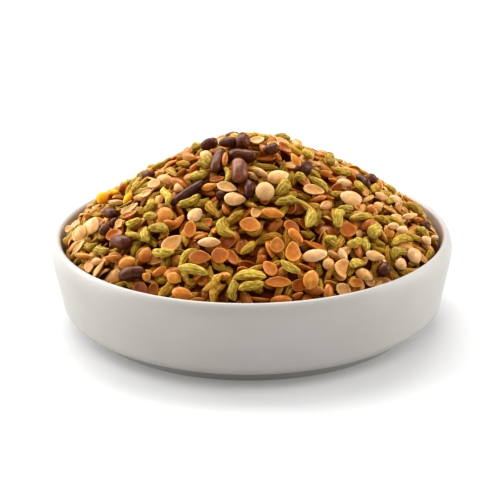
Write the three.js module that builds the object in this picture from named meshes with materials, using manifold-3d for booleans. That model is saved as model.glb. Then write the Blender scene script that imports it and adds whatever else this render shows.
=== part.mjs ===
// A shallow white stoneware bowl heaped with mukhwas, the roasted seed mix offered after a meal.
// Two solids: the bowl, turned from one section, and the heap, a core with the seeds that show fused to it.
// Millimetres, +Z up, origin at the centre of the foot's resting plane.
import * as THREE from "three";
import { mergeVertices } from "three/addons/utils/BufferGeometryUtils.js";
import Module from "manifold-3d";

const wasm = await Module();
wasm.setup();

// Bowl, outside
const BOWL_RADIUS = 52;
const BOWL_HEIGHT = 23.5;
const LIP_DROP = 4.4; // from the crest of the lip down to the widest ring
const WALL_FOOT_RADIUS = 49.5; // where the leaning wall turns into the bottom corner
const WALL_FOOT_Z = 7;
const FOOT_RADIUS = 42.7;
const FOOT_HEIGHT = 3;
const FOOT_INSET = 1.3; // the flat step under the body, outside the foot
const FOOT_WIDTH = 4.5; // the ring that the bowl stands on
const FOOT_RECESS = 1.1; // depth of the underside inside that ring
const FOOT_BEVEL = 0.4;

// Bowl, inside
const WALL_THICKNESS = 2.6;
const LIP_ROUND = 0.9; // inner edge of the lip
const FLOOR_Z = 6.2;
const FLOOR_CORNER = 6.5; // radius of the corner between floor and wall

// Heap
const GAP = 0.3; // between the heap's core and the bowl
const HEAP_APEX_Z = 48.4;
const HEAP_SLOPE = 0.72; // rise over run of the flank
const HEAP_ROUNDING = 18.7; // the larger, the blunter the top
const HEAP_EDGE_Z = 21.5; // where the heap's outline meets the wall
const HEAP_EDGE_POWER = 16; // the larger, the nearer to the wall the flank falls away
const SEED_COVER = 1.7; // the core lies this far below the heap's outline
const CORE_BUMP = 0.3; // height of the core's own unevenness

// Seeds that show: length, width and thickness, how many, how far each sinks into the core, how far it tips
// in radians, how far its middle bows, and its facets around and end to end
const SEED_KINDS = [
  { name: "glazed", size: [7.4, 3.3, 3.2], count: 18, sunk: 1.0, tip: 0.3, bow: 0.5, sides: 6, rings: 4 },
  { name: "pearl", size: [4.3, 4.3, 4.2], count: 6, sunk: 1.3, tip: 0.4, bow: 0, sides: 6, rings: 4 },
  { name: "fennel", size: [6.7, 2.5, 2.3], count: 90, sunk: 0.65, tip: 0.3, bow: 0.45, sides: 5, rings: 3 },
  { name: "split", size: [5.5, 3.7, 1.8], count: 132, sunk: 0.5, tip: 0.38, bow: 0, sides: 7, rings: 2 },
];
const FLAT_KIND = "split"; // the kind whose facets meet on its flat faces, not at its two ends
const SIZE_SPREAD = 0.14; // seeds differ in size by up to this share either way

// Facets
const BOWL_SEGMENTS = 44;
const CORE_SEGMENTS = 28;
const CURVE_STEPS = 3;
const DOME_RINGS = 10;
const DOME_RING_POWER = 0.8; // below 1, the rings are closer together towards the wall
const MERGE_DISTANCE = 1e-4;

const GOLDEN_ANGLE = Math.PI * (3 - Math.sqrt(5));
const RANDOM_SEED = 7;

// Places that follow from these
const INNER_LIP_RADIUS = BOWL_RADIUS - WALL_THICKNESS;
const INNER_CORNER_RADIUS = WALL_FOOT_RADIUS - WALL_THICKNESS;
const LIP_BASE_Z = BOWL_HEIGHT - LIP_ROUND;
const CREST_RADIUS = INNER_LIP_RADIUS + LIP_ROUND;
const WIDEST_Z = BOWL_HEIGHT - LIP_DROP;
const CORNER_TOP_Z = FLOOR_Z + FLOOR_CORNER;
const CORE_EDGE_Z = HEAP_EDGE_Z - SEED_COVER;
const CORE_EDGE_RADIUS = cavityRadius(CORE_EDGE_Z) - GAP;
const HEAP_EDGE_DROP = coneHeight(CORE_EDGE_RADIUS) - HEAP_EDGE_Z;

const bowlMaterial = new THREE.MeshStandardMaterial({ color: 0xe6e4e0, roughness: 0.45, metalness: 0 });
const heapMaterial = new THREE.MeshStandardMaterial({ color: 0xb98a45, roughness: 0.65, metalness: 0 });

// A repeatable stream of numbers from 0 to 1.
function randomStream(seed) {
  let state = seed >>> 0;
  return () => {
    state = (state + 0x6d2b79f5) >>> 0;
    let t = Math.imul(state ^ (state >>> 15), state | 1);
    t ^= t + Math.imul(t ^ (t >>> 7), t | 61);
    return ((t ^ (t >>> 14)) >>> 0) / 4294967296;
  };
}

// Inside radius of the bowl's leaning wall at a height above the floor's corner.
function cavityRadius(height) {
  const share = (Math.min(height, LIP_BASE_Z) - CORNER_TOP_Z) / (LIP_BASE_Z - CORNER_TOP_Z);
  return INNER_CORNER_RADIUS + (INNER_LIP_RADIUS - INNER_CORNER_RADIUS) * share;
}

// Height of the heap as a blunt cone.
function coneHeight(radius) {
  return HEAP_APEX_Z - HEAP_SLOPE * (Math.hypot(radius, HEAP_ROUNDING) - HEAP_ROUNDING);
}

// Height of the heap's outline: the cone, falling away to its edge at the wall.
function outlineHeight(radius) {
  return coneHeight(radius) - HEAP_EDGE_DROP * (radius / CORE_EDGE_RADIUS) ** HEAP_EDGE_POWER;
}

// A lathe about Z from a path in (radius, height).
function turned(path, segments) {
  return new THREE.LatheGeometry(path.getPoints(CURVE_STEPS), segments).rotateX(Math.PI / 2);
}

// The bare triangles of a geometry, with shared vertices merged and flat ones dropped.
function bareMesh(geometry) {
  const bare = geometry.clone();
  bare.deleteAttribute("normal");
  bare.deleteAttribute("uv");
  const merged = mergeVertices(bare, MERGE_DISTANCE);
  const corners = merged.index.array;
  const kept = [];
  for (let i = 0; i < corners.length; i += 3) {
    const [a, b, c] = corners.slice(i, i + 3);
    if (a !== b && b !== c && c !== a) kept.push(a, b, c);
  }
  merged.setIndex(kept);
  return merged;
}

function solidFrom(geometry) {
  const bare = bareMesh(geometry);
  return new wasm.Manifold(
    new wasm.Mesh({
      numProp: 3,
      vertProperties: new Float32Array(bare.attributes.position.array),
      triVerts: new Uint32Array(bare.index.array),
    }),
  );
}

function geometryFrom(solid) {
  const { vertProperties, triVerts } = solid.getMesh();
  const geometry = new THREE.BufferGeometry();
  geometry.setAttribute("position", new THREE.BufferAttribute(vertProperties, 3));
  geometry.setIndex(new THREE.BufferAttribute(triVerts, 1));
  geometry.computeVertexNormals();
  return geometry;
}

// The bowl's section: underside, foot ring, rounded body, leaning wall, soft shoulder, lip, then the inside.
function bowlSection() {
  const section = new THREE.Path();
  const footInner = FOOT_RADIUS - FOOT_WIDTH;
  const bodyFoot = FOOT_RADIUS + FOOT_INSET;
  section.moveTo(0, FOOT_RECESS);
  section.lineTo(footInner - FOOT_BEVEL, FOOT_RECESS);
  section.lineTo(footInner, 0);
  section.lineTo(FOOT_RADIUS - FOOT_BEVEL, 0);
  section.lineTo(FOOT_RADIUS, FOOT_BEVEL);
  section.lineTo(FOOT_RADIUS, FOOT_HEIGHT);
  section.lineTo(bodyFoot, FOOT_HEIGHT);
  section.absellipse(
    bodyFoot, WALL_FOOT_Z, WALL_FOOT_RADIUS - bodyFoot, WALL_FOOT_Z - FOOT_HEIGHT, -Math.PI / 2, 0, false,
  );
  section.lineTo(BOWL_RADIUS, WIDEST_Z);
  section.absellipse(CREST_RADIUS, WIDEST_Z, BOWL_RADIUS - CREST_RADIUS, LIP_DROP, 0, Math.PI / 2, false);
  section.absarc(CREST_RADIUS, LIP_BASE_Z, LIP_ROUND, Math.PI / 2, Math.PI, false);
  section.lineTo(INNER_CORNER_RADIUS, CORNER_TOP_Z);
  section.absarc(INNER_CORNER_RADIUS - FLOOR_CORNER, CORNER_TOP_Z, FLOOR_CORNER, 0, -Math.PI / 2, true);
  section.lineTo(0, FLOOR_Z);
  return section;
}

// Direction square to the outline at a place on the heap.
function outlineNormal(radius, angle) {
  const step = 0.1;
  const rise = (outlineHeight(radius + step) - outlineHeight(radius)) / step;
  return new THREE.Vector3(-rise * Math.cos(angle), -rise * Math.sin(angle), 1).normalize();
}

// The core fills the bowl to its wall, GAP clear of it, and follows the outline SEED_COVER below it.
function heapCore(random) {
  const cornerCentre = INNER_CORNER_RADIUS - FLOOR_CORNER;
  const cornerRound = FLOOR_CORNER - GAP;
  const section = new THREE.Path();
  section.moveTo(0, FLOOR_Z + GAP);
  section.lineTo(cornerCentre, FLOOR_Z + GAP);
  section.absarc(cornerCentre, CORNER_TOP_Z, cornerRound, -Math.PI / 2, 0, false);
  for (let ring = DOME_RINGS; ring >= 0; ring -= 1) {
    const radius = CORE_EDGE_RADIUS * (ring / DOME_RINGS) ** DOME_RING_POWER;
    section.lineTo(radius, outlineHeight(radius) - SEED_COVER);
  }
  const core = bareMesh(turned(section, CORE_SEGMENTS));
  const place = core.attributes.position;
  for (let i = 0; i < place.count; i += 1) {
    const radius = Math.hypot(place.getX(i), place.getY(i));
    const onDome = place.getZ(i) > CORE_EDGE_Z && radius < CORE_EDGE_RADIUS - GAP;
    if (onDome) place.setZ(i, place.getZ(i) + CORE_BUMP * (2 * random() - 1));
  }
  return core;
}

// One seed lying along X with its flat side up: a lens or a spindle of few sides, bowed if its kind is.
function seedGeometry(kind, random) {
  const scale = 1 + SIZE_SPREAD * (2 * random() - 1);
  const [length, width, thickness] = kind.size.map((side) => (side * scale) / 2);
  const seed = new THREE.SphereGeometry(1, kind.sides, kind.rings);
  if (kind.name === FLAT_KIND) seed.rotateX(Math.PI / 2);
  else seed.rotateZ(Math.PI / 2);
  seed.scale(length, width, thickness);
  const place = seed.attributes.position;
  for (let i = 0; i < place.count; i += 1) {
    const along = place.getX(i) / length;
    place.setY(i, place.getY(i) + kind.bow * scale * along * along);
  }
  return seed;
}

// How far a seed has to move towards the axis to stay clear of the bowl.
function reachOverWall(seed) {
  const place = seed.attributes.position;
  let reach = 0;
  for (let i = 0; i < place.count; i += 1) {
    const clear = cavityRadius(place.getZ(i)) - 2 * GAP;
    reach = Math.max(reach, Math.hypot(place.getX(i), place.getY(i)) - clear);
  }
  return reach;
}

// A seed on the core at a place, spun at random, tipped a little and moved in from the wall.
function placedSeed(kind, radius, angle, random) {
  const seed = seedGeometry(kind, random);
  const normal = outlineNormal(radius, angle);
  const upright = new THREE.Quaternion().setFromUnitVectors(new THREE.Vector3(0, 0, 1), normal);
  const spin = new THREE.Quaternion().setFromAxisAngle(new THREE.Vector3(0, 0, 1), 2 * Math.PI * random());
  const tip = new THREE.Quaternion().setFromEuler(
    new THREE.Euler(kind.tip * (2 * random() - 1), kind.tip * (2 * random() - 1), 0),
  );
  const lift = kind.size[2] / 2 - kind.sunk;
  const spot = new THREE.Vector3(
    radius * Math.cos(angle), radius * Math.sin(angle), outlineHeight(radius) - SEED_COVER,
  ).addScaledVector(normal, lift);
  seed.applyQuaternion(upright.multiply(spin).multiply(tip));
  seed.translate(spot.x, spot.y, spot.z);
  const reach = reachOverWall(seed);
  return seed.translate(-reach * Math.cos(angle), -reach * Math.sin(angle), 0);
}

// The kinds in one list, each spread evenly through it, so that a spiral over the heap mixes them.
function mixedKinds(random) {
  const places = SEED_KINDS.flatMap((kind) =>
    Array.from({ length: kind.count }, (_, i) => ({ kind, at: (i + random()) / kind.count })),
  );
  return places.sort((a, b) => a.at - b.at).map((place) => place.kind);
}

// The heap: the core with every seed fused to it. Sealed pockets and loose scraps are left out.
function heapSolid() {
  const random = randomStream(RANDOM_SEED);
  const core = solidFrom(heapCore(random));
  const kinds = mixedKinds(random);
  const seeds = kinds.map((kind, i) => {
    const radius = CORE_EDGE_RADIUS * Math.sqrt((i + 0.5) / kinds.length);
    return solidFrom(placedSeed(kind, radius, i * GOLDEN_ANGLE, random));
  });
  const fused = wasm.Manifold.union([core, ...seeds]);
  return fused.decompose().reduce((largest, piece) => (piece.volume() > largest.volume() ? piece : largest));
}

const bowl = new THREE.Mesh(turned(bowlSection(), BOWL_SEGMENTS), bowlMaterial);
bowl.name = "bowl";

const heap = new THREE.Mesh(geometryFrom(heapSolid()), heapMaterial);
heap.name = "mukhwas";

const bowlOfMukhwas = new THREE.Group();
bowlOfMukhwas.name = "bowl_of_mukhwas";
bowlOfMukhwas.add(bowl, heap);

export default bowlOfMukhwas;
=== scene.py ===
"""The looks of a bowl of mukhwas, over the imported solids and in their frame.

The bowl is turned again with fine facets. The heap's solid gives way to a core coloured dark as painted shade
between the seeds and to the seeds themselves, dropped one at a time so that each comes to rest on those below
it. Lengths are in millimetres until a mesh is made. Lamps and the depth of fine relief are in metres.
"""

import math
from dataclasses import dataclass
from typing import Callable

import bpy
import numpy as np
from mathutils import Matrix, Vector


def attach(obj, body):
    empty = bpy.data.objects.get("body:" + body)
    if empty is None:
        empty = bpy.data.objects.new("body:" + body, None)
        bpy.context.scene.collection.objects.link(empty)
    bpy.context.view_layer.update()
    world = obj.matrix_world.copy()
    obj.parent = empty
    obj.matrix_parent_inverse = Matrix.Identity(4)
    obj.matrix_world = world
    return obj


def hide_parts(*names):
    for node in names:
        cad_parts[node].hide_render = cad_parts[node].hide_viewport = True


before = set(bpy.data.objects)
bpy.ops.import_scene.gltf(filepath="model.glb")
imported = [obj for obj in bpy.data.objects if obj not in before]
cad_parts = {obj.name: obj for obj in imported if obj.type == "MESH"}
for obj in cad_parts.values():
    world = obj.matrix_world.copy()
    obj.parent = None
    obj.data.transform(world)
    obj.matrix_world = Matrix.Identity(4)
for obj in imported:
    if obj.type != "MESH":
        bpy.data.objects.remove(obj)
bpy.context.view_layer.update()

MM = 0.001
RNG = np.random.default_rng(11)

# Bowl, outside
BOWL_RADIUS = 52.0
BOWL_HEIGHT = 23.5
LIP_DROP = 4.4  # from the crest of the lip down to the widest ring
WALL_FOOT_RADIUS = 49.5
WALL_FOOT_Z = 7.0
FOOT_RADIUS = 42.7
FOOT_HEIGHT = 3.0
FOOT_INSET = 1.3
FOOT_WIDTH = 4.5
FOOT_RECESS = 1.1
FOOT_BEVEL = 0.4
STRAIGHT_SHARE = 0.8  # of the way up to its widest ring the wall is straight
BOWL_AROUND = 160  # facets

# Bowl, inside
WALL_THICKNESS = 2.6
LIP_ROUND = 0.9  # inner edge of the lip
FLOOR_Z = 6.2
FLOOR_CORNER = 6.5
INNER_LIP_RADIUS = BOWL_RADIUS - WALL_THICKNESS
INNER_CORNER_RADIUS = WALL_FOOT_RADIUS - WALL_THICKNESS
LIP_BASE_Z = BOWL_HEIGHT - LIP_ROUND
CREST_RADIUS = INNER_LIP_RADIUS + LIP_ROUND
WIDEST_Z = BOWL_HEIGHT - LIP_DROP
CORNER_TOP_Z = FLOOR_Z + FLOOR_CORNER

# Heap
HEAP_APEX_Z = 48.4
HEAP_SLOPE = 0.72
HEAP_ROUNDING = 18.7
HEAP_EDGE_Z = 21.5
HEAP_EDGE_POWER = 16
SEED_DEPTH = 4.6  # the core lies this far below the heap's outline
WALL_GAP = 0.3  # the seeds keep this far from the wall
SLOPE_STEP = 0.2  # over which the outline's slope is measured

# How the seeds are dropped
CELL = 0.35  # grid on which they come to rest
GRID_MARGIN = 2.0  # of the grid past the heap's edge
REST_SHARE = 0.92  # of a seed's underside stays above those below it, and the rest sinks in
TRIES = 14  # places and turns tried for each seed
UNDER_SHARE = 0.62  # of the mix, dropped before the seeds that are placed by the picture
SHOWN_COVER = 0.12  # of a seed dropped at random may lie over those that show in the picture
VIEW_COVER = 0.6  # of a seed that shows may lie over others that show
SETTLING_STEPS = 8  # in which a seed that shows finds its height along its line of sight
MISS = 7.0  # pixels: a seed that comes to rest further than this from its own is left out
FACING = 0.5  # how far a chip that shows leans to the viewer, against lying on the heap
DISHED_SHARE = 0.35  # of the chips lie with their dished face outwards
LEAST_ACROSS = 0.6  # a seed is made longer for its slant up to this limit
MOST_END_ON = 0.8  # of a seed's shown size comes at most from its thickness

# Where the seeds dropped at random may lie: the rare kinds at the back, because those in view are placed by
# the picture, the pale splits off the middle of the front, and the roasted ones off the two sides
BACK_KINDS = ("dark", "brown", "pearl", "golden")
BACK_Y = 8.0
SIDE_KINDS = ("pale_split",)
FRONT_Y = -10.0
FRONT_HALF = 18.0
FRONT_KINDS = ("roast_split",)
SIDE_X = 27.0
FLAT_KINDS = ("roast_split", "pale_split")  # chips that face the viewer where they stand out
LATE_KINDS = ("golden", "stalk")  # few, and dropped last so that they show

# Red, green and blue factors: painted light on the seeds that show, painted shade, browner, on the mix around
# them, and painted shade, darker and redder, on those below in the gaps
SHOWN_PAINTED_LIGHT = np.array([1.1, 1.1, 1.0])
MIX_PAINTED_SHADE = np.array([1.0, 0.95, 0.8])
UNDER_PAINTED_SHADE = np.array([0.93, 0.8, 0.46])

# Camera, from the bowl's outline in the photograph
IMAGE_SIZE = 500
CAMERA_DISTANCE = 500.0
CAMERA_ELEVATION = math.radians(20.69)
CAMERA_ROLL = math.radians(-0.66)
FOCAL_PIXELS = 1921.2
AIM = np.array([0.0, 0.0, 20.0])
AIM_PIXEL = (251.7, 242.5)
SENSOR_WIDTH = 36.0
NEAR_CLIP = 0.01
SIGHT_REACH = 70.0  # lines of sight are followed this far before and behind the bowl's middle
SIGHT_STEP = 0.25

# Dark glazed seeds as they lie in view: pixel, length and width in pixels, and turn in degrees from level
DARK_IN_VIEW = [
    (209, 144, 18, 11, 20), (228, 143, 17, 10, -5), (243, 142, 16, 14, 80), (218, 161, 26, 12, 68),
    (249, 188, 18, 11, 100), (221, 196, 10, 9, 0), (188, 193, 39, 11, 36), (271, 150, 15, 11, 10),
    (304, 168, 17, 12, 30), (363, 181, 17, 9, -50), (372, 179, 12, 10, -30), (148, 172, 14, 10, 20),
    (110, 213, 15, 11, -20), (114, 223, 10, 9, 0), (104, 230, 12, 10, 60), (121, 243, 22, 14, -6),
    (86, 267, 14, 10, -10), (130, 278, 26, 13, 14), (384, 270, 15, 12, 50), (425, 225, 12, 10, 0),
    (242, 156, 28, 13, -6),
]
# Those with a thinner, browner glaze, and the seeds of the other kinds that stand out
BROWN_IN_VIEW = [(239, 171, 24, 16, 100), (164, 287, 19, 13, 40)]
PALE_IN_VIEW = [
    (227, 187, 20, 10, -15), (235, 200, 21, 13, -5), (195, 215, 16, 13, 40), (209, 242, 22, 10, 0),
    (172, 244, 22, 14, 35), (278, 177, 22, 14, 15), (314, 190, 21, 10, -10), (257, 211, 17, 10, 65),
    (315, 256, 24, 12, 12), (91, 226, 20, 16, 60), (79, 234, 18, 14, 60), (102, 273, 21, 17, 20),
    (130, 209, 20, 7, 30), (180, 186, 14, 10, 45), (165, 179, 18, 10, -20), (351, 198, 22, 15, -8),
    (398, 216, 17, 11, -5), (406, 230, 18, 9, -5), (430, 243, 15, 9, -20), (415, 256, 17, 14, -60),
    (375, 257, 19, 10, -12), (345, 269, 21, 17, -20), (365, 275, 18, 11, -25), (345, 284, 17, 12, -40),
    (253, 178, 15, 6, -35), (261, 173, 17, 7, -30), (257, 144, 15, 8, 10), (206, 155, 13, 10, -30),
    (320, 149, 10, 7, -50), (345, 183, 16, 9, -5), (273, 142, 13, 9, 20), (116, 201, 16, 6, 0),
    (76, 221, 11, 9, 60), (67, 234, 9, 8, 0), (72, 242, 17, 8, 25), (120, 224, 10, 9, 0),
    (77, 250, 18, 6, 50), (97, 261, 12, 8, 0), (134, 259, 12, 6, 60), (146, 194, 13, 7, 25),
    (154, 184, 13, 10, 0), (159, 199, 12, 8, 100), (119, 283, 11, 7, 0), (364, 192, 12, 7, 130),
    (381, 196, 14, 8, -20), (396, 199, 16, 9, -20), (381, 207, 16, 9, -30), (394, 226, 12, 7, 0),
    (410, 220, 16, 6, 10), (435, 236, 8, 6, 0), (334, 255, 14, 6, -30), (329, 262, 12, 11, -40),
    (403, 267, 12, 11, -50), (392, 275, 13, 11, 40), (343, 255, 15, 8, 110),
]
ROAST_IN_VIEW = [
    (164, 216, 18, 17, 0), (250, 225, 20, 14, -10), (273, 213, 22, 10, -15), (292, 227, 17, 10, -35),
    (296, 239, 18, 9, -45), (220, 256, 17, 15, 20), (200, 258, 21, 13, 0), (190, 230, 16, 12, 90),
    (145, 255, 16, 13, 70), (277, 246, 15, 14, 90), (293, 252, 19, 14, 90), (278, 283, 25, 10, 0),
    (311, 280, 19, 15, 75), (348, 230, 17, 15, 0), (182, 295, 20, 12, -15), (174, 278, 15, 11, -25),
    (296, 161, 15, 8, -60), (285, 148, 16, 8, -45), (225, 162, 14, 6, 85), (217, 176, 15, 6, 10),
    (209, 187, 16, 8, 15), (189, 157, 14, 8, -20), (314, 146, 13, 7, -60), (327, 174, 14, 6, -30),
    (101, 219, 14, 7, -30), (87, 216, 8, 6, 0), (129, 215, 18, 6, 20),
    (114, 235, 17, 11, 15), (171, 224, 16, 6, -10), (81, 259, 20, 6, -5), (113, 258, 16, 6, 5),
    (127, 263, 17, 12, 20), (146, 275, 14, 8, 100), (159, 271, 16, 8, 30), (331, 181, 12, 6, -25),
    (359, 209, 13, 6, -30), (372, 209, 10, 8, -40), (369, 224, 16, 9, 35), (389, 231, 14, 10, 110),
    (434, 222, 10, 9, -30), (434, 252, 11, 8, 30), (356, 284, 14, 9, 0), (419, 219, 10, 6, -10),
]
FENNEL_IN_VIEW = [
    (189, 202, 24, 9, 30), (249, 277, 32, 10, 5), (251, 287, 25, 9, 15), (233, 293, 20, 9, 95),
    (263, 298, 29, 9, 5), (290, 268, 22, 8, -35), (193, 270, 30, 9, -12), (225, 229, 22, 10, -60),
    (163, 253, 22, 9, 0), (205, 166, 16, 12, -10), (198, 176, 20, 9, 15), (283, 188, 20, 11, 60),
    (290, 163, 20, 9, -45), (288, 202, 26, 8, 0), (310, 219, 20, 10, 75), (339, 219, 18, 11, 60),
    (361, 218, 25, 7, 0), (366, 245, 16, 8, 80), (422, 232, 16, 8, -35), (355, 243, 16, 9, 25),
    (263, 137, 14, 7, 0), (283, 138, 16, 7, -10), (308, 155, 14, 8, -45), (330, 161, 14, 8, -50),
    (318, 183, 25, 8, -40), (342, 172, 18, 9, -20), (300, 177, 11, 8, 0), (227, 170, 18, 7, 85),
    (197, 148, 12, 9, 0), (133, 236, 18, 7, -15), (134, 223, 17, 9, 15), (150, 206, 13, 10, 80),
    (150, 217, 14, 8, 5), (146, 235, 16, 9, 110), (159, 229, 21, 9, -10), (90, 244, 16, 8, 15),
    (101, 251, 18, 8, 5), (140, 267, 16, 7, 10), (140, 288, 27, 9, -3), (166, 196, 20, 8, 100),
    (136, 187, 13, 8, 50), (359, 186, 14, 8, 130), (391, 190, 13, 7, -30), (415, 209, 21, 9, -35),
    (346, 209, 16, 8, 0), (375, 231, 18, 12, 45), (401, 241, 23, 7, 10), (398, 249, 18, 9, 25),
    (331, 241, 14, 9, -40), (356, 264, 15, 9, 10), (396, 258, 16, 8, -40),
]
PEARL_IN_VIEW = [(265, 192, 18, 18, 0)]
GOLDEN_IN_VIEW = [
    (103, 198, 15, 12, 60), (128, 199, 14, 8, 60), (178, 152, 14, 10, 20), (113, 193, 12, 6, 10),
]


def cavity_radius(height):
    """Inside radius of the bowl's leaning wall at a height above the floor's corner."""
    share = (min(height, LIP_BASE_Z) - CORNER_TOP_Z) / (LIP_BASE_Z - CORNER_TOP_Z)
    return INNER_CORNER_RADIUS + (INNER_LIP_RADIUS - INNER_CORNER_RADIUS) * share


HEAP_EDGE_RADIUS = cavity_radius(HEAP_EDGE_Z)


def cone_height(radius):
    """Height of the heap as a blunt cone."""
    return HEAP_APEX_Z - HEAP_SLOPE * (np.hypot(radius, HEAP_ROUNDING) - HEAP_ROUNDING)


def outline_height(x, y):
    """Height of the heap's outline: the cone, falling away to its edge at the wall."""
    radius = np.hypot(x, y)
    drop = cone_height(HEAP_EDGE_RADIUS) - HEAP_EDGE_Z
    return cone_height(radius) - drop * (radius / HEAP_EDGE_RADIUS) ** HEAP_EDGE_POWER


def outline_normal(x, y):
    """Direction square to the heap's outline."""
    slope_x = (outline_height(x + SLOPE_STEP, y) - outline_height(x - SLOPE_STEP, y)) / (2 * SLOPE_STEP)
    slope_y = (outline_height(x, y + SLOPE_STEP) - outline_height(x, y - SLOPE_STEP)) / (2 * SLOPE_STEP)
    normal = np.array([-slope_x, -slope_y, 1.0])
    return normal / np.linalg.norm(normal)


def camera_axes():
    """Right, up and forward of the camera, and its place."""
    forward = np.array([0.0, math.cos(CAMERA_ELEVATION), -math.sin(CAMERA_ELEVATION)])
    level_up = np.array([0.0, math.sin(CAMERA_ELEVATION), math.cos(CAMERA_ELEVATION)])
    level_right = np.array([1.0, 0.0, 0.0])
    right = math.cos(CAMERA_ROLL) * level_right + math.sin(CAMERA_ROLL) * level_up
    up = math.cos(CAMERA_ROLL) * level_up - math.sin(CAMERA_ROLL) * level_right
    pixel = CAMERA_DISTANCE / FOCAL_PIXELS
    aside = (AIM_PIXEL[0] - IMAGE_SIZE / 2) * pixel
    above = (IMAGE_SIZE / 2 - AIM_PIXEL[1]) * pixel
    place = AIM - forward * CAMERA_DISTANCE - right * aside - up * above
    return right, up, forward, place


def pixel_on_heap(pixel_x, pixel_y, lift):
    """Where the line of sight through a pixel comes within a lift of the heap's outline."""
    right, up, forward, place = camera_axes()
    ray = forward + right * (pixel_x - IMAGE_SIZE / 2) / FOCAL_PIXELS
    ray = ray - up * (pixel_y - IMAGE_SIZE / 2) / FOCAL_PIXELS
    for along in np.arange(CAMERA_DISTANCE - SIGHT_REACH, CAMERA_DISTANCE + SIGHT_REACH, SIGHT_STEP):
        x, y, z = place + ray * along
        if math.hypot(x, y) < HEAP_EDGE_RADIUS and z < outline_height(x, y) + lift:
            return x, y
    return None


def seen_at(point):
    """Pixel at which a point is seen."""
    right, up, forward, place = camera_axes()
    away = point - place
    scale = FOCAL_PIXELS / (away @ forward)
    return np.array([IMAGE_SIZE / 2 + away @ right * scale, IMAGE_SIZE / 2 - away @ up * scale])


# Mesh helpers


def add_piece(name, vertices, faces, material, tint=None):
    """A smooth mesh object from millimetre vertices and a list of equal-sided face arrays."""
    mesh = bpy.data.meshes.new(name)
    corners = np.concatenate([block.reshape(-1) for block in faces])
    sides = np.concatenate([np.full(len(block), block.shape[1]) for block in faces])
    starts = np.concatenate([[0], np.cumsum(sides)[:-1]])
    mesh.vertices.add(len(vertices))
    mesh.vertices.foreach_set("co", (vertices * MM).astype(np.float32).reshape(-1))
    mesh.loops.add(len(corners))
    mesh.loops.foreach_set("vertex_index", corners.astype(np.int32))
    mesh.polygons.add(len(sides))
    mesh.polygons.foreach_set("loop_start", starts.astype(np.int32))
    mesh.polygons.foreach_set("use_smooth", np.ones(len(sides), dtype=bool))
    if tint is not None:
        layer = mesh.color_attributes.new(name="tint", type="FLOAT_COLOR", domain="POINT")
        rgba = np.concatenate([tint, np.ones((len(tint), 1))], axis=1)
        layer.data.foreach_set("color", rgba.astype(np.float32).reshape(-1))
    mesh.update(calc_edges=True)
    mesh.validate()
    piece = bpy.data.objects.new(name, mesh)
    bpy.context.scene.collection.objects.link(piece)
    mesh.materials.append(material)
    return piece


def spindle_faces(rings, around):
    """Faces of a closed form: a first tip, rings of points, and a last tip."""
    ring = np.arange(rings - 1)[:, None] * around + 1
    step = np.arange(around)[None, :]
    after = (step + 1) % around
    quads = np.stack([ring + step, ring + after, ring + around + after, ring + around + step], axis=-1)
    step = step[0]
    after = after[0]
    last = (rings - 1) * around + 1
    tip = np.zeros(around, dtype=int)
    end = np.full(around, rings * around + 1)
    tips = np.stack([tip, 1 + after, 1 + step], axis=-1)
    ends = np.stack([end, last + step, last + after], axis=-1)
    return quads.reshape(-1, 4), np.concatenate([tips, ends])


def turned_faces(profile_points, around):
    """Faces of a form turned about Z whose profile starts and ends on the axis."""
    return spindle_faces(profile_points - 2, around)


def turned_vertices(profile, around):
    """Points of a profile of (radius, height) turned about Z, with single points on the axis."""
    angle = np.arange(around) * 2 * math.pi / around
    radius = profile[1:-1, 0][:, None]
    height = np.repeat(profile[1:-1, 1][:, None], around, axis=1)
    rings = np.stack([radius * np.cos(angle), radius * np.sin(angle), height], axis=-1).reshape(-1, 3)
    return np.concatenate([[[0, 0, profile[0, 1]]], rings, [[0, 0, profile[-1, 1]]]])


# Materials


GLAZE_CLOUD = ((0.49, 0.468, 0.438), (0.52, 0.50, 0.475))  # darkest and palest of the glaze
GLAZE_ROUGHNESS = 0.42
SMOOTH_GRAIN = 0.36  # roughness of the glaze between its pinholes
ROUGH_GRAIN = 0.5  # and in them
CLOUD_SCALE = 60.0
GRAIN_SCALE = 2600.0
GRAIN_DETAIL = 2.0
GRAIN_RELIEF = 0.12
GRAIN_DEPTH = 0.0002
KERNEL_GLOW = (1.0, 0.35, 0.08)  # how far red, green and blue light travel in a kernel, in millimetres
MOTTLE_DETAIL = 4.0
SEED_RELIEF_DEPTH = 0.0003


def new_material(name, roughness):
    """A material with a Principled shader, and its nodes and links."""
    material = bpy.data.materials.new(name)
    material.use_nodes = True
    nodes = material.node_tree.nodes
    shader = nodes["Principled BSDF"]
    shader.inputs["Roughness"].default_value = roughness
    return material, nodes, material.node_tree.links, shader


def noise_node(nodes, links, scale, detail=3.0):
    """Noise in the object's own space, scale in features a metre."""
    place = nodes.new("ShaderNodeTexCoord")
    noise = nodes.new("ShaderNodeTexNoise")
    noise.inputs["Scale"].default_value = scale
    noise.inputs["Detail"].default_value = detail
    links.new(place.outputs["Object"], noise.inputs["Vector"])
    return noise


def ramp_node(nodes, links, source, low, high, start=0.3, end=0.7):
    """A colour ramp from one grey or colour to another."""
    ramp = nodes.new("ShaderNodeValToRGB")
    ramp.color_ramp.elements[0].position = start
    ramp.color_ramp.elements[1].position = end
    ramp.color_ramp.elements[0].color = (*low, 1.0)
    ramp.color_ramp.elements[1].color = (*high, 1.0)
    links.new(source, ramp.inputs["Fac"])
    return ramp


def bump_node(nodes, links, shader, height, strength, distance):
    """Fine relief on a shader's normal."""
    bump = nodes.new("ShaderNodeBump")
    bump.inputs["Strength"].default_value = strength
    bump.inputs["Distance"].default_value = distance
    links.new(height, bump.inputs["Height"])
    links.new(bump.outputs["Normal"], shader.inputs["Normal"])


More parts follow.
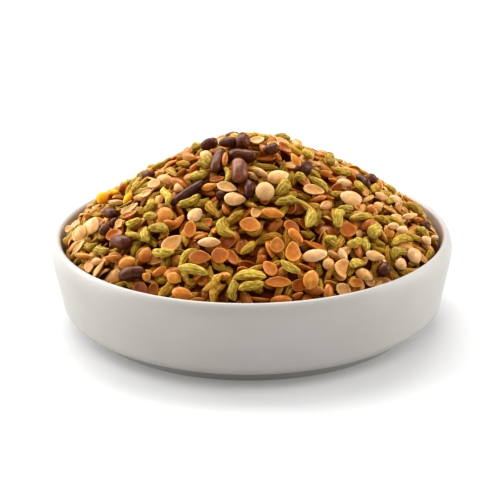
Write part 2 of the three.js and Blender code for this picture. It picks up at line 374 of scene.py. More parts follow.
def stoneware_material():
    """White satin glaze with a faint cloudiness and pinholes too fine to see singly."""
    material, nodes, links, shader = new_material("stoneware_glaze", GLAZE_ROUGHNESS)
    cloud = noise_node(nodes, links, CLOUD_SCALE)
    colour = ramp_node(nodes, links, cloud.outputs["Fac"], *GLAZE_CLOUD)
    links.new(colour.outputs["Color"], shader.inputs["Base Color"])
    grain = noise_node(nodes, links, GRAIN_SCALE, GRAIN_DETAIL)
    gloss = ramp_node(nodes, links, grain.outputs["Fac"], (SMOOTH_GRAIN,) * 3, (ROUGH_GRAIN,) * 3)
    links.new(gloss.outputs["Color"], shader.inputs["Roughness"])
    bump_node(nodes, links, shader, grain.outputs["Fac"], GRAIN_RELIEF, GRAIN_DEPTH)
    return material


def seed_material(name, roughness, specular, mottle, mottle_scale, relief, let_in):
    """A seed's own tint, mottled, with fine relief, and letting some light in."""
    material, nodes, links, shader = new_material(name, roughness)
    shader.inputs["Specular IOR Level"].default_value = specular
    shader.inputs["Subsurface Weight"].default_value = let_in
    shader.inputs["Subsurface Radius"].default_value = KERNEL_GLOW
    shader.inputs["Subsurface Scale"].default_value = MM
    tint = nodes.new("ShaderNodeVertexColor")
    tint.layer_name = "tint"
    noise = noise_node(nodes, links, mottle_scale, MOTTLE_DETAIL)
    shade = ramp_node(nodes, links, noise.outputs["Fac"], (1 - mottle,) * 3, (1 + mottle,) * 3)
    mix = nodes.new("ShaderNodeMix")
    mix.data_type = "RGBA"
    mix.blend_type = "MULTIPLY"
    mix.inputs["Factor"].default_value = 1.0
    links.new(tint.outputs["Color"], mix.inputs["A"])
    links.new(shade.outputs["Color"], mix.inputs["B"])
    links.new(mix.outputs["Result"], shader.inputs["Base Color"])
    bump_node(nodes, links, shader, noise.outputs["Fac"], relief, SEED_RELIEF_DEPTH)
    return material


# The bowl


def arc(centre, radii, start, end, steps):
    """Points on a quarter or half ellipse between two angles in degrees."""
    angle = np.radians(np.linspace(start, end, steps))
    return np.stack([centre[0] + radii[0] * np.cos(angle), centre[1] + radii[1] * np.sin(angle)], axis=-1)


def smooth_corner(start, corner, end, steps):
    """Points of a curve that leaves a start towards a corner and ends coming from it, without the start."""
    share = np.linspace(0, 1, steps)[1:, None]
    return (1 - share) ** 2 * start + 2 * share * (1 - share) * corner + share**2 * end


def bowl_profile():
    """The bowl's section from the middle of its underside, up and over the lip, and down the inside."""
    foot_inner = FOOT_RADIUS - FOOT_WIDTH
    body_foot = FOOT_RADIUS + FOOT_INSET
    belly = np.array([WALL_FOOT_RADIUS, WALL_FOOT_Z])
    widest = np.array([BOWL_RADIUS, WIDEST_Z])
    wall = belly + np.linspace(0, STRAIGHT_SHARE, 6)[1:, None] * (widest - belly)
    shoulder = arc((CREST_RADIUS, WIDEST_Z), (BOWL_RADIUS - CREST_RADIUS, LIP_DROP), 0, 90, 15)
    join = 3  # the shoulder's point at which the curve from the wall meets it
    turn_in = smooth_corner(wall[-1], widest, shoulder[join], 7)
    corner = arc(
        (INNER_CORNER_RADIUS - FLOOR_CORNER, CORNER_TOP_Z), (FLOOR_CORNER, FLOOR_CORNER), 0, -90, 10
    )
    blocks = [
        [(0, FOOT_RECESS), (foot_inner - 2 * FOOT_BEVEL, FOOT_RECESS)],
        [(foot_inner - FOOT_BEVEL, FOOT_RECESS - FOOT_BEVEL), (foot_inner - FOOT_BEVEL / 2, FOOT_BEVEL / 2)],
        [(foot_inner, 0)],
        arc((FOOT_RADIUS - FOOT_BEVEL, FOOT_BEVEL), (FOOT_BEVEL, FOOT_BEVEL), -90, 0, 5),
        arc((FOOT_RADIUS + FOOT_BEVEL, FOOT_HEIGHT - FOOT_BEVEL), (FOOT_BEVEL, FOOT_BEVEL), 180, 90, 5),
        arc((body_foot, WALL_FOOT_Z), (WALL_FOOT_RADIUS - body_foot, WALL_FOOT_Z - FOOT_HEIGHT), -90, 0, 16),
        wall,
        turn_in,
        shoulder[join + 1:],
        arc((CREST_RADIUS, LIP_BASE_Z), (LIP_ROUND, LIP_ROUND), 90, 180, 8)[1:],
        [(INNER_CORNER_RADIUS, CORNER_TOP_Z)],
        corner[1:],
        [(0, FLOOR_Z)],
    ]
    return np.concatenate([np.asarray(block, dtype=float) for block in blocks])


def make_bowl():
    """The bowl, turned with fine facets."""
    profile = bowl_profile()
    points = turned_vertices(profile, BOWL_AROUND)
    quads, tips = turned_faces(len(profile), BOWL_AROUND)
    piece = add_piece("stoneware_bowl", points, [quads, tips], stoneware_material())
    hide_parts("bowl")
    return piece


# Forms of the seeds: each gives points along X, its colours, and is as uneven as the real ones


def mixed(first, second, share):
    """A colour between two, for each share in an array."""
    return np.asarray(first) + (np.asarray(second) - np.asarray(first)) * np.asarray(share)[..., None]


def spindle_grid(rings, around):
    """Place along the length from -1 to 1, and angle around, of each ring's points."""
    along = -np.cos(np.linspace(0, math.pi, rings + 2))[1:-1]
    angle = np.arange(around) * 2 * math.pi / around
    return np.meshgrid(along, angle, indexing="ij")


def with_tips(points, first, last):
    """Ring points with the two tips added in the order that the faces expect."""
    return np.concatenate([[first], points.reshape(-1, points.shape[-1]), [last]])


BOW_MIDDLE = 0.4  # of a bow is at a seed's middle, and the rest, the other way, at its ends
BROAD_WAVES = 3.0
FINE_WAVES = 6.5
BROAD_SHARE = 0.65


def bent(along):
    """How far a bend of one carries a seed aside at a place along it."""
    return along**2 - BOW_MIDDLE


def uneven(along, angle, size):
    """Random waves along and around a seed, up to about a size as a share of its girth."""
    phase = RNG.uniform(0, 2 * math.pi, 4)
    broad = np.sin(BROAD_WAVES * along + phase[0]) * np.cos(angle + phase[1])
    fine = np.sin(FINE_WAVES * along + phase[2]) * np.cos(2 * angle + phase[3])
    return size * (BROAD_SHARE * broad + (1 - BROAD_SHARE) * fine)


FENNEL_RINGS = 11
FENNEL_AROUND = 24
FENNEL_RIBS = 8
FENNEL_ENDS = (2.4, 0.72)  # powers that draw its girth in at the ends
FENNEL_TAPER = 0.25
FENNEL_TWIST = 1.0
FENNEL_BOW = 0.2
FENNEL_SWAY = 0.08
FENNEL_FLAT_SIDE = 0.75  # of its thickness is left on the flatter side
RIB_HEIGHT = 0.1
CRUMPLE_HEIGHT = 0.06
FENNEL_WAVES = 0.3
# Youngest and oldest colour of the green and of the ripe fennel, and how its furrows and ribs differ: darker
# furrows and paler ribs, partly the seed's own colour and partly painted shade and painted light
GREEN_FENNEL = ((0.53, 0.41, 0.065), (0.40, 0.28, 0.03))
RIPE_FENNEL = ((0.60, 0.43, 0.09), (0.48, 0.30, 0.04))
FENNEL_FURROW_TONE_AND_SHADE = np.array([0.52, 0.36, 0.14])
FENNEL_RIB_TONE_AND_LIGHT = np.array([1.38, 1.42, 2.2])
FENNEL_RIB_PALE_AND_LIGHT = np.array([0.05, 0.05, 0.025])
FENNEL_TIP = (0.45, 0.30, 0.06)
RIB_SHADE = 0.22
CRUMPLE_SHADE = 0.2
FENNEL_BRIGHTNESS = (0.8, 1.15)


def fennel_form(half, palette):
    """A ribbed, crumpled and slightly curved fennel seed, with pale ribs and dark furrows, partly its own
    colour and partly painted light on ridges and lumps and painted shade in furrows and dents.
    """
    along, angle = spindle_grid(FENNEL_RINGS, FENNEL_AROUND)
    ends, fullness = FENNEL_ENDS
    taper = 1 + RNG.uniform(-FENNEL_TAPER, FENNEL_TAPER) * along
    girth = (1 - np.abs(along) ** ends) ** fullness * taper
    rib = np.cos(FENNEL_RIBS * angle + RNG.normal(0, FENNEL_TWIST) * along)
    crumple = RNG.normal(0, 1, along.shape)
    wide = girth * (1 + RIB_HEIGHT * rib + CRUMPLE_HEIGHT * crumple + uneven(along, angle, FENNEL_WAVES))
    bow = RNG.normal(0, FENNEL_BOW) * half[0]
    sway = RNG.normal(0, FENNEL_SWAY) * half[0]
    x = half[0] * along
    y = half[1] * wide * np.cos(angle) + bow * bent(along) + sway * np.sin(math.pi * along)
    z = half[2] * wide * np.sin(angle)
    z = np.where(np.sin(angle) < 0, z * FENNEL_FLAT_SIDE, z)
    skin = mixed(*palette, RNG.uniform(0, 1))
    # Ribs and outward lumps are paler and furrows and dents darker: partly the seed's own colour, partly
    # painted light and painted shade
    share = np.clip(0.5 + RIB_SHADE * rib + CRUMPLE_SHADE * crumple, 0, 1)
    tint = mixed(skin * FENNEL_FURROW_TONE_AND_SHADE, skin * FENNEL_RIB_TONE_AND_LIGHT + FENNEL_RIB_PALE_AND_LIGHT, share)
    tint = tint * RNG.uniform(*FENNEL_BRIGHTNESS)
    tip_colour = mixed(skin, FENNEL_TIP, 0.5)
    first = [-half[0], bow * bent(1), 0]
    last = [half[0], bow * bent(1), 0]
    return with_tips(np.stack([x, y, z], axis=-1), first, last), with_tips(tint, tip_colour, tip_colour)


SPLIT_AROUND = 20
# Place of each ring from the middle of the round face, over the rim, to the middle of the dished face
SPLIT_RINGS = np.array([
    (0.4, 0.88), (0.75, 0.58), (0.94, 0.15), (1.0, -0.15), (0.95, -0.4), (0.85, -0.38), (0.6, -0.22),
])
SPLIT_TOP = 1.0
SPLIT_DISH = -0.17
SPLIT_TAPER = 0.3  # at most, towards an egg's narrow end
SPLIT_POINT = (1.0, 1.5)  # from rounded to pointed ends
SPLIT_CURL = 0.10
SPLIT_WAVE = 0.06
BROKEN_SHARE = 0.12  # of the chips have lost an end
BROKEN_PLACE = (0.0, 0.5)  # between the middle and the end
# Colour of the face, the dish and the edge, in the palest and the darkest of each kind of split; the darker
# dish is partly painted shade, and the paler edge partly a painted highlight on the rim
PALE_SPLIT = (
    ((0.77, 0.49, 0.27), (0.68, 0.39, 0.165), (0.83, 0.60, 0.37)),
    ((0.70, 0.375, 0.135), (0.60, 0.28, 0.08), (0.78, 0.48, 0.225)),
)
ROAST_SPLIT = (
    ((0.65, 0.28, 0.045), (0.54, 0.195, 0.026), (0.75, 0.39, 0.10)),
    ((0.47, 0.15, 0.012), (0.36, 0.095, 0.006), (0.59, 0.24, 0.034)),
)
SPLIT_BRIGHTNESS = (0.78, 1.0)
SPLIT_TOAST = np.array([0.12, 0.22, 0.35])  # one end of a chip is browner than the other
TOAST_SPREAD = 0.5
STREAK_SHADE = 0.06  # from the middle outwards
SPOT_SHADE = 0.03


def split_form(half, palette):
    """Half a coriander kernel: an egg-shaped chip, round on one face and dished inside a rim on the other."""
    angle = np.arange(SPLIT_AROUND) * 2 * math.pi / SPLIT_AROUND
    taper = RNG.uniform(0.0, SPLIT_TAPER)
    point = RNG.uniform(*SPLIT_POINT)
    side = np.sign(np.sin(angle)) * np.abs(np.sin(angle)) ** point
    outline_x = half[0] * np.cos(angle)
    outline_y = half[1] * side * (1 - taper * np.cos(angle))
    if RNG.uniform() < BROKEN_SHARE:
        outline_x = np.minimum(outline_x, half[0] * RNG.uniform(*BROKEN_PLACE))
    curl = RNG.normal(0, SPLIT_CURL) * half[0]
    wave = RNG.normal(0, SPLIT_WAVE) * half[0]
    spread = SPLIT_RINGS[:, 0][:, None]
    x = spread * outline_x
    y = spread * outline_y
    lift = curl * (x / half[0]) ** 2 + wave * (x / half[0]) * (y / half[1])
    z = half[2] * SPLIT_RINGS[:, 1][:, None] + lift
    face, dish_tone_and_shade, edge = mixed(palette[0], palette[1], RNG.uniform(0, 1))
    # Paler edge on the rim, partly a painted highlight, and darker middle of the dish, partly painted shade
    ring_colours = [face, face, edge, edge, edge, face, dish_tone_and_shade]
    tint = np.repeat(np.array(ring_colours)[:, None, :], SPLIT_AROUND, axis=1)
    tint = tint * RNG.uniform(*SPLIT_BRIGHTNESS)
    toast = RNG.normal(0, TOAST_SPREAD) * (x / half[0])[..., None] * SPLIT_TOAST
    streaks = STREAK_SHADE * RNG.normal(0, 1, (1, SPLIT_AROUND, 1))
    spots = SPOT_SHADE * RNG.normal(0, 1, (*x.shape, 1))
    tint = tint * (1 + toast) * (1 + streaks + spots)
    first = [0, 0, half[2] * SPLIT_TOP]
    last = [0, 0, half[2] * SPLIT_DISH]
    points = with_tips(np.stack([x, y, z], axis=-1), first, last)
    return points, with_tips(tint, face, dish_tone_and_shade)


BEAN_RINGS = 11
BEAN_AROUND = 16
BEAN_ENDS = (3.0, 0.5)  # powers that draw its girth in at the ends
BEAN_TAPER = 0.14
BEAN_WAVES = 0.17
BEAN_BOW = (0.05, 0.3)
THIN_GLAZE = 1.8  # how much lighter a glaze is where it is thin
# Darkest and palest of the seeds with a thick and with a thin glaze
DARK_GLAZE_RANGE = ((0.06, 0.014, 0.004), (0.12, 0.034, 0.011))
BROWN_GLAZE_RANGE = ((0.14, 0.042, 0.02), (0.26, 0.11, 0.062))


def glazed_form(half, palette):
    """A blunt, bent and lumpy seed under a dark glaze."""
    along, angle = spindle_grid(BEAN_RINGS, BEAN_AROUND)
    ends, fullness = BEAN_ENDS
    taper = 1 + RNG.uniform(-BEAN_TAPER, BEAN_TAPER) * along
    girth = (1 - np.abs(along) ** ends) ** fullness * taper
    wide = girth * (1 + uneven(along, angle, BEAN_WAVES))
    bow = RNG.choice([-1, 1]) * RNG.uniform(*BEAN_BOW) * (half[0] - half[1])
    x = half[0] * along
    y = half[1] * wide * np.cos(angle) + bow * bent(along)
    z = half[2] * wide * np.sin(angle)
    colour = mixed(*palette, RNG.uniform(0, 1))
    thin = np.clip(uneven(along, angle, 1.0), 0, 1)
    tint = mixed(colour, colour * THIN_GLAZE, thin)
    first = [-half[0], bow * bent(1), 0]
    last = [half[0], bow * bent(1), 0]
    return with_tips(np.stack([x, y, z], axis=-1), first, last), with_tips(tint, colour, colour)


PEARL_COLOUR = (0.66, 0.44, 0.23)
GOLDEN_COLOUR = (0.80, 0.42, 0.02)
PEARL_WAVES = 0.04
GOLDEN_WAVES = 0.3
ROUND_BRIGHTNESS = (0.9, 1.05)


def round_form(half, colour, waves):
    """A round piece of one colour, more or less out of round."""
    along, angle = spindle_grid(BEAN_RINGS, BEAN_AROUND)
    wide = np.sqrt(1 - along**2) * (1 + uneven(along, angle, waves))
    x = half[0] * along
    y = half[1] * wide * np.cos(angle)
    z = half[2] * wide * np.sin(angle)
    tint = np.broadcast_to(np.asarray(colour) * RNG.uniform(*ROUND_BRIGHTNESS), (*along.shape, 3))
    first = [-half[0], 0, 0]
    last = [half[0], 0, 0]
    return with_tips(np.stack([x, y, z], axis=-1), first, last), with_tips(tint, colour, colour)


STALK_RINGS = 8
STALK_AROUND = 6
STALK_GIRTH = 0.75  # at its middle, as a share of that at its thick end
STALK_BOW = 0.16
STALK_COLOURS = ((0.50, 0.42, 0.12), (0.40, 0.26, 0.07))


def stalk_form(half):
    """A thin bent stalk."""
    along, angle = spindle_grid(STALK_RINGS, STALK_AROUND)
    girth = STALK_GIRTH + (1 - STALK_GIRTH) * along
    bow = RNG.normal(0, STALK_BOW) * half[0]
    x = half[0] * along
    y = half[1] * girth * np.cos(angle) + bow * bent(along)
    z = half[2] * girth * np.sin(angle)
    colour = mixed(*STALK_COLOURS, RNG.uniform())
    tint = np.broadcast_to(colour, (*along.shape, 3))
    first = [-half[0], bow * bent(1), 0]
    last = [half[0], bow * bent(1), 0]
    return with_tips(np.stack([x, y, z], axis=-1), first, last), with_tips(tint, colour, colour)


# Sizes of the seeds: mean, spread, least and most where there are four numbers, least and most where two
FENNEL_LENGTH = (6.3, 0.9, 4.2, 8.4)
FENNEL_WIDTH = (2.2, 0.3, 1.5, 2.9)
FENNEL_DEPTH = 0.92  # of its width
SPLIT_LENGTH = (5.0, 0.65, 3.4, 6.4)
SPLIT_WIDTH = (0.54, 0.1, 0.36, 0.9)  # of its length
SPLIT_THICKNESS = (1.5, 0.25, 1.0, 2.1)
GLAZED_WIDTH = (2.8, 3.6)
GLAZED_LENGTH = (1.15, 2.4)  # of its width
PEARL_WIDTH = (3.4, 4.6)
GOLDEN_WIDTH = (2.0, 3.0)
GOLDEN_LENGTH = (1.0, 1.6)  # of its width
GOLDEN_DEPTH = 0.9  # of its width
STALK_LENGTH = (3.5, 7.0)
STALK_WIDTH = 0.5


def about(mean, spread, least, most):
    """A size drawn about a mean and kept between two limits."""
    return np.clip(RNG.normal(mean, spread), least, most)


# Half length, half width and half thickness of a seed of each kind


def fennel_half():
    length = about(*FENNEL_LENGTH)
    width = about(*FENNEL_WIDTH)
    return np.array([length, width, width * FENNEL_DEPTH]) / 2


def split_half():
    length = about(*SPLIT_LENGTH)
    width = length * about(*SPLIT_WIDTH)
    return np.array([length, width, about(*SPLIT_THICKNESS)]) / 2


def glazed_half():
    width = RNG.uniform(*GLAZED_WIDTH)
    return np.array([RNG.uniform(*GLAZED_LENGTH) * width, width, width]) / 2


def pearl_half():
    return np.full(3, RNG.uniform(*PEARL_WIDTH) / 2)


def golden_half():
    width = RNG.uniform(*GOLDEN_WIDTH)
    return np.array([RNG.uniform(*GOLDEN_LENGTH) * width, width, width * GOLDEN_DEPTH]) / 2


def stalk_half():
    return np.array([RNG.uniform(*STALK_LENGTH), STALK_WIDTH, STALK_WIDTH]) / 2


# The heap as a field of heights on which the seeds come to rest


class Heap:
    """Heights on a square grid, and the seeds dropped so far."""

    def __init__(self):
        edge = HEAP_EDGE_RADIUS + GRID_MARGIN
        self.cells = int(2 * edge / CELL) + 1
        self.start = -edge
        line = self.start + np.arange(self.cells) * CELL
        self.x, self.y = np.meshgrid(line, line, indexing="ij")
        self.inside = np.hypot(self.x, self.y) < HEAP_EDGE_RADIUS - WALL_GAP
        self.goal = outline_height(self.x, self.y)
        self.height = self.goal - SEED_DEPTH
        self.shown = np.zeros_like(self.inside)
        self.seeds = []

    def window(self, x, y, axes, half):
        """The cells under a seed, with its lower and upper surfaces relative to its middle."""
        reach = np.sqrt(((axes[:2] * half) ** 2).sum(axis=1))
        low = np.maximum(((np.array([x, y]) - reach - self.start) / CELL).astype(int), 0)
        high = np.minimum(((np.array([x, y]) + reach - self.start) / CELL).astype(int) + 2, self.cells)
        cut = (slice(low[0], high[0]), slice(low[1], high[1]))
        dx = self.x[cut] - x
        dy = self.y[cut] - y
        form = axes @ np.diag(half**-2.0) @ axes.T
        tilt = form[0, 2] * dx + form[1, 2] * dy
        flat = form[0, 0] * dx**2 + 2 * form[0, 1] * dx * dy + form[1, 1] * dy**2 - 1
        room = tilt**2 - form[2, 2] * flat
        under = room > 0
        root = np.sqrt(np.maximum(room, 0))
        return cut, under, (-tilt - root) / form[2, 2], (-tilt + root) / form[2, 2]

    def rest(self, x, y, axes, half):
        """Height of a seed's middle at rest, how far its top stands above the outline, and how much of it
        lies over seeds that show, or None at the wall."""
        cut, under, lower, upper = self.window(x, y, axes, half)
        if not under.any() or not self.inside[cut][under].all():
            return None
        middle = np.quantile((self.height[cut] - lower)[under], REST_SHARE)
        above = (middle + upper - self.goal[cut])[under].max()
        hidden = self.shown[cut][under].mean()
        return middle, above, hidden

    def place(self, kind, x, y, middle, axes, half, shade):
        """Add a seed and raise the heights under it."""
        cut, under, _, upper = self.window(x, y, axes, half)
        raised = np.where(under, middle + upper, -np.inf)
        self.height[cut] = np.maximum(self.height[cut], raised)
        # Each seed keeps its colour factor: painted light if it shows, painted shade if it lies in the mix
        self.seeds.append((kind, np.array([x, y, middle]), axes, half, shade))
        return cut, under

    def low_places(self, count):
        """Places drawn at random, the more often the further they lie below the outline."""
        need = np.where(self.inside, np.maximum(self.goal - self.height, 0), 0).reshape(-1) ** 2
        total = np.cumsum(need)
        picks = np.searchsorted(total, RNG.uniform(0, total[-1], count))
        return self.x.reshape(-1)[picks], self.y.reshape(-1)[picks]


def lying_axes(x, y, tip):
    """Axes of a seed lying on the heap's flank, turned at random and tipped by up to a normal draw."""
    normal = outline_normal(x, y) + RNG.normal(0, tip, 3)
    normal /= np.linalg.norm(normal)
    side = np.cross(normal, RNG.normal(0, 1, 3))
    side /= np.linalg.norm(side)
    axes = np.stack([side, np.cross(normal, side), normal], axis=1)
    if RNG.uniform() < DISHED_SHARE:
        axes = axes * np.array([1.0, -1.0, -1.0])
    return axes


def clear_of_wall(x, y, axes, half):
    """A place moved inwards as far as a seed needs to clear the wall."""
    radius = math.hypot(x, y)
    reach = np.linalg.norm(np.array([x, y, 0]) / radius @ axes * half)
    keep = min(1.0, (HEAP_EDGE_RADIUS - WALL_GAP - CELL - reach) / radius)
    return x * keep, y * keep


def keeps_off(name, x, y):
    """Whether a kind of seed that is dropped at random keeps off a place."""
    if name in BACK_KINDS:
        return y < BACK_Y
    if name in SIDE_KINDS:
        return y < FRONT_Y and abs(x) < FRONT_HALF
    if name in FRONT_KINDS:
        return y < BACK_Y and abs(x) > SIDE_X
    return False


def drop_at_random(heap, name, shade):
    """Try several low places and turns for a seed and keep the one where it lies deepest."""
    half = KINDS[name].half()
    best = None
    for x, y in zip(*heap.low_places(TRIES)):
        axes = lying_axes(x, y, KINDS[name].tip)
        x, y = clear_of_wall(x, y, axes, half)
        if keeps_off(name, x, y):
            continue
        found = heap.rest(x, y, axes, half)
        if found is None or found[1] > KINDS[name].proud or found[2] > SHOWN_COVER:
            continue
        depth = found[0] - outline_height(x, y)
        if best is None or depth < best[0]:
            best = (depth, x, y, found[0], axes)
    if best is not None:
        heap.place(name, *best[1:], half, shade)


def axes_in_view(x, y, turn, facing):
    """Axes of a seed on the heap that leans to the viewer, its length at a turn from level in view."""
    right, up, forward, _ = camera_axes()
    normal = outline_normal(x, y) - facing * forward
    normal /= np.linalg.norm(normal)
    across = np.cross([0.0, 1.0, 0.0], normal)
    across /= np.linalg.norm(across)
    slope = np.cross(normal, across)
    seen = np.array([[across @ right, slope @ right], [across @ up, slope @ up]])
    share = np.linalg.solve(seen, [math.cos(turn), math.sin(turn)])
    side = share[0] * across + share[1] * slope
    side /= np.linalg.norm(side)
    axes = np.stack([side, np.cross(normal, side), normal], axis=1)
    if facing and RNG.uniform() < DISHED_SHARE:
        axes = axes * np.array([1.0, -1.0, -1.0])
    return axes


def unslanted(shown_half, axes):
    """Half sizes of a seed from the half length and half width that show, allowing for its slant."""
    forward = camera_axes()[2]
    away = np.abs(forward @ axes)[:2]
    across = np.sqrt(1 - away**2)
    end_on = np.minimum(shown_half[2] * away, MOST_END_ON * shown_half[:2])
    sizes = np.sqrt(shown_half[:2] ** 2 - end_on**2) / np.maximum(across, LEAST_ACROSS)
    return np.array([*sizes, shown_half[2]])


def drop_in_view(heap, name, pixel, shown_half, turn, facing):
    """Put a seed where a pixel of the picture shows its middle, and keep later seeds from covering it."""
    lift = 0.0
    for _ in range(SETTLING_STEPS):
        spot = pixel_on_heap(*pixel, lift)
        if spot is None:
            return
        axes = axes_in_view(*spot, turn, facing)
        half = unslanted(shown_half, axes)
        spot = clear_of_wall(*spot, axes, half)
        found = heap.rest(*spot, axes, half)
        if found is None or found[2] > VIEW_COVER:
            return
        lift = (lift + found[0] - outline_height(*spot)) / 2
    miss = np.linalg.norm(seen_at(np.array([*spot, found[0]])) - pixel)
    if miss > MISS:
        return
    # A seed that shows gets painted light
    cut, under = heap.place(name, *spot, found[0], axes, half, SHOWN_PAINTED_LIGHT)
    heap.shown[cut] |= under


@dataclass
class Kind:
    """A kind of seed: its piece, how many are dropped, how they lie and how they are made."""

    piece: str
    count: int
    tip: float  # spread of the draw by which one tips from lying flat
    proud: float  # how far one may stand above the heap's outline
    half: Callable
    form: Callable
    faces: tuple
    finish: tuple


FENNEL_FACES = spindle_faces(FENNEL_RINGS, FENNEL_AROUND)
SPLIT_FACES = spindle_faces(len(SPLIT_RINGS), SPLIT_AROUND)
BEAN_FACES = spindle_faces(BEAN_RINGS, BEAN_AROUND)
STALK_FACES = spindle_faces(STALK_RINGS, STALK_AROUND)
# Finishes: name, roughness, specular level, strength and scale of mottling, relief, share of light let in
FENNEL_SKIN = ("fennel_skin", 0.52, 0.2, 0.25, 1300.0, 0.6, 0.0)
SPLIT_KERNEL = ("split_kernel", 0.31, 0.45, 0.12, 800.0, 0.22, 0.08)
DARK_GLAZE = ("dark_glaze", 0.32, 0.42, 0.35, 700.0, 0.7, 0.0)
PUFFED_SKIN = ("puffed_skin", 0.6, 0.3, 0.1, 900.0, 0.3, 0.1)
CORE_PAINTED_SHADE_FINISH = ("core_painted_shade", 0.8, 0.2, 0.4, 900.0, 0.5, 0.0)


def in_colours(form, *colours):
    """A form with its colours settled."""
    return lambda half: form(half, *colours)


GREEN_FORM = in_colours(fennel_form, GREEN_FENNEL)
RIPE_FORM = in_colours(fennel_form, RIPE_FENNEL)
PALE_FORM = in_colours(split_form, PALE_SPLIT)
ROAST_FORM = in_colours(split_form, ROAST_SPLIT)
DARK_FORM = in_colours(glazed_form, DARK_GLAZE_RANGE)
BROWN_FORM = in_colours(glazed_form, BROWN_GLAZE_RANGE)
PEARL_FORM = in_colours(round_form, PEARL_COLOUR, PEARL_WAVES)
GOLDEN_FORM = in_colours(round_form, GOLDEN_COLOUR, GOLDEN_WAVES)
KINDS = {
    "green_fennel": Kind(
        "green_fennel_seeds", 450, 0.5, 0.7, fennel_half, GREEN_FORM, FENNEL_FACES, FENNEL_SKIN,
    ),
    "ripe_fennel": Kind(
        "ripe_fennel_seeds", 300, 0.5, 0.7, fennel_half, RIPE_FORM, FENNEL_FACES, FENNEL_SKIN,
    ),
    "pale_split": Kind(
        "pale_coriander_splits", 600, 0.8, 0.7, split_half, PALE_FORM, SPLIT_FACES, SPLIT_KERNEL,
    ),
    "roast_split": Kind(
        "roast_coriander_splits", 520, 0.8, 0.7, split_half, ROAST_FORM, SPLIT_FACES, SPLIT_KERNEL,
    ),
    "dark": Kind("dark_glazed_seeds", 30, 0.3, 1.3, glazed_half, DARK_FORM, BEAN_FACES, DARK_GLAZE),
    "brown": Kind("brown_glazed_seeds", 4, 0.3, 1.3, glazed_half, BROWN_FORM, BEAN_FACES, DARK_GLAZE),
    "pearl": Kind("puffed_pearls", 3, 0.2, 1.3, pearl_half, PEARL_FORM, BEAN_FACES, PUFFED_SKIN),
    "golden": Kind("golden_bits", 4, 0.3, 1.0, golden_half, GOLDEN_FORM, BEAN_FACES, PUFFED_SKIN),
    "stalk": Kind("fennel_stalks", 26, 0.25, 0.8, stalk_half, stalk_form, STALK_FACES, FENNEL_SKIN),
}
IN_VIEW = {
    "dark": DARK_IN_VIEW, "brown": BROWN_IN_VIEW, "pearl": PEARL_IN_VIEW, "golden": GOLDEN_IN_VIEW,
    "roast_split": ROAST_IN_VIEW, "pale_split": PALE_IN_VIEW, "green_fennel": FENNEL_IN_VIEW,
}


def fill_heap():
    """Drop all the seeds: most of the mix, then those placed by the picture, then the rest of the mix."""
    heap = Heap()
    mix = [name for name, kind in KINDS.items() if name not in LATE_KINDS for _ in range(kind.count)]
    RNG.shuffle(mix)
    under = int(len(mix) * UNDER_SHARE)
    for name in mix[:under]:
        # The seeds below, in the gaps, get a darker and redder painted shade
        drop_at_random(heap, name, UNDER_PAINTED_SHADE)
    pixel = CAMERA_DISTANCE / FOCAL_PIXELS
    for name, shown in IN_VIEW.items():
        flat = name in FLAT_KINDS
        for x, y, length, width, turn in shown:
            thickness = SPLIT_THICKNESS[0] if flat else width * pixel
            half = np.array([length * pixel, width * pixel, thickness]) / 2
            drop_in_view(heap, name, (x, y), half, math.radians(turn), FACING if flat else 0.0)
    for name in mix[under:]:
        # The rest of the mix gets a browner painted shade
        drop_at_random(heap, name, MIX_PAINTED_SHADE)
    # The late kinds get the same painted shade
    for name in LATE_KINDS:
        for _ in range(KINDS[name].count):
            drop_at_random(heap, name, MIX_PAINTED_SHADE)
    return heap


def seed_piece(heap, name, material):
    """All the seeds of one kind as one mesh."""
    kind = KINDS[name]
    quads, tips = kind.faces
    points = []
    tints = []
    for other, place, axes, half, shade in heap.seeds:
        if other != name:
            continue
        form, tint = kind.form(half)
        points.append(form @ axes.T + place)
        # Painted light on the seeds that show and painted shade on the rest, through the factor each seed
        # keeps
        tints.append(tint * shade)
    shift = (np.arange(len(points)) * len(points[0]))[:, None, None]
    faces = [(quads[None] + shift).reshape(-1, 4), (tips[None] + shift).reshape(-1, 3)]
    piece = add_piece(kind.piece, np.concatenate(points), faces, material, np.concatenate(tints))
    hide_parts("mukhwas")
    return piece


CORE_AROUND = 150
CORE_RINGS = 60
CORE_WAVE_X = 1.9  # waves of the core, in radians a millimetre
CORE_WAVE_Y = 1.7
CORE_SHIFT = 0.9
CORE_SWAY = 1.3  # by which the waves across X wander along Y
CORE_SWAY_Y = 1.1
CORE_WAVE_HEIGHT = 0.5
CRUMB_HEIGHT = 0.25
# Dark red-brown painted shade of the seeds deep in the gaps, varied at random
CORE_PAINTED_SHADE_COLOURS = ((0.20, 0.05, 0.003), (0.36, 0.11, 0.01))


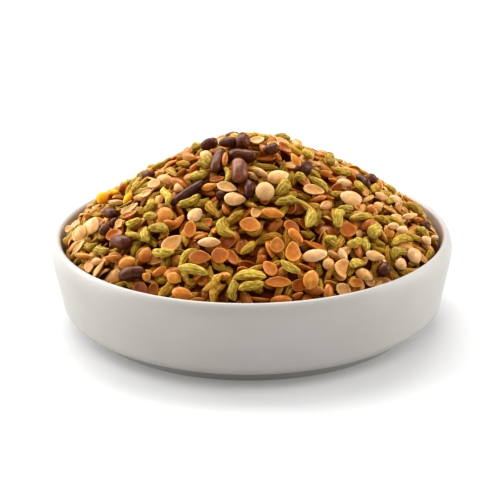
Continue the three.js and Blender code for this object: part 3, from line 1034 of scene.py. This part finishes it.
def make_core():
    """The inside of the heap that shows between the seeds, with the relief of the seeds below, coloured a
    dark red-brown as painted shade for the seeds in the gaps.
    """
    corner = FLOOR_CORNER - WALL_GAP
    floor_corner = arc((INNER_CORNER_RADIUS - FLOOR_CORNER, CORNER_TOP_Z), (corner, corner), -90, 0, 8)
    edge = HEAP_EDGE_RADIUS - 2 * WALL_GAP
    radius = np.linspace(edge, 0, CORE_RINGS)
    dome = np.stack([radius, outline_height(radius, 0) - SEED_DEPTH], axis=-1)
    profile = np.concatenate([[(0, FLOOR_Z + WALL_GAP)], floor_corner, dome])
    points = turned_vertices(profile, CORE_AROUND)
    dome_start = 1 + len(floor_corner) * CORE_AROUND
    x = points[:, 0]
    y = points[:, 1]
    sway = CORE_SWAY * np.sin(y * CORE_SWAY_Y)
    wave = np.sin(x * CORE_WAVE_X + sway) * np.sin(y * CORE_WAVE_Y + CORE_SHIFT)
    bump = CORE_WAVE_HEIGHT * wave + RNG.uniform(-CRUMB_HEIGHT, CRUMB_HEIGHT, len(points))
    points[dome_start:, 2] += bump[dome_start:]
    tint = mixed(*CORE_PAINTED_SHADE_COLOURS, RNG.uniform(0, 1, len(points)))
    quads, tips = turned_faces(len(profile), CORE_AROUND)
    piece = add_piece("mukhwas_core", points, [quads, tips], seed_material(*CORE_PAINTED_SHADE_FINISH), tint)
    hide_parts("mukhwas")
    return piece


# Stage


FLOOR_WHITE = (0.6, 0.6, 0.6, 1.0)
FLOOR_GLOW = 0.2  # keeps the floor pale in the bowl's shadow
FLOOR_SIDE = 3000.0
FLOOR_ROUGHNESS = 0.9
FLOOR_SPECULAR = 0.1
ROOM_LIGHT = 0.25  # from all round, as in a light tent
LAMP_AIM = (0.0, 0.0, 0.03)
# Broad soft lamps: name, place and side in metres, and power in watts
LAMPS = (
    ("top_back", (0.0, 0.7, 1.3), 1.0, 11.8),
    ("front_top", (0.0, -0.8, 1.3), 1.0, 4.0),
    ("back_left", (-0.8, 0.7, 0.8), 1.0, 8.5),
    ("left", (-1.0, 0.1, 0.5), 0.9, 5.6),
    ("right", (1.0, 0.1, 0.5), 0.9, 6.4),
)


def make_camera():
    """The camera at the photograph's viewing angle."""
    right, up, forward, place = camera_axes()
    lens = bpy.data.cameras.new("camera")
    lens.sensor_width = SENSOR_WIDTH
    lens.lens = FOCAL_PIXELS * SENSOR_WIDTH / IMAGE_SIZE
    lens.clip_start = NEAR_CLIP
    camera = bpy.data.objects.new("camera", lens)
    turn = np.stack([right, up, -forward], axis=1)
    camera.matrix_world = Matrix.Translation(Vector(place * MM)) @ Matrix(turn.tolist()).to_4x4()
    bpy.context.scene.collection.objects.link(camera)
    bpy.context.scene.camera = camera


def make_floor():
    """A plain white floor."""
    reach = FLOOR_SIDE / 2
    corners = np.array([(-reach, -reach, 0), (reach, -reach, 0), (reach, reach, 0), (-reach, reach, 0)])
    material, _, _, shader = new_material("floor_paper", FLOOR_ROUGHNESS)
    shader.inputs["Base Color"].default_value = FLOOR_WHITE
    shader.inputs["Specular IOR Level"].default_value = FLOOR_SPECULAR
    shader.inputs["Emission Color"].default_value = FLOOR_WHITE
    shader.inputs["Emission Strength"].default_value = FLOOR_GLOW
    floor = add_piece("floor", corners, [np.array([[0, 1, 2, 3]])], material)


def add_softbox(name, place, size, power):
    """A square area light aimed at the heap."""
    light = bpy.data.lights.new(name, "AREA")
    light.shape = "SQUARE"
    light.size = size
    light.energy = power
    lamp = bpy.data.objects.new(name, light)
    lamp.location = place
    lamp.rotation_euler = (Vector(LAMP_AIM) - Vector(place)).to_track_quat("-Z", "Y").to_euler()
    bpy.context.scene.collection.objects.link(lamp)


def make_light():
    """Light from all round, with broad soft lamps above, behind and on both sides."""
    for lamp in LAMPS:
        add_softbox(*lamp)
    world = bpy.data.worlds.new("room")
    world.use_nodes = True
    world.node_tree.nodes["Background"].inputs["Color"].default_value = (1.0, 1.0, 1.0, 1.0)
    world.node_tree.nodes["Background"].inputs["Strength"].default_value = ROOM_LIGHT
    bpy.context.scene.world = world
    bpy.context.scene.view_settings.view_transform = "Standard"
    bpy.context.scene.view_settings.look = "High Contrast"


def main():
    """Build every piece, ride it on the one body and set the stage."""
    pieces = [make_bowl(), make_core()]
    heap = fill_heap()
    skins = (FENNEL_SKIN, SPLIT_KERNEL, DARK_GLAZE, PUFFED_SKIN)
    finishes = {skin: seed_material(*skin) for skin in skins}
    for name, kind in KINDS.items():
        pieces.append(seed_piece(heap, name, finishes[kind.finish]))
    for piece in pieces:
        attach(piece, "root")
    make_floor()
    make_light()
    make_camera()


main()
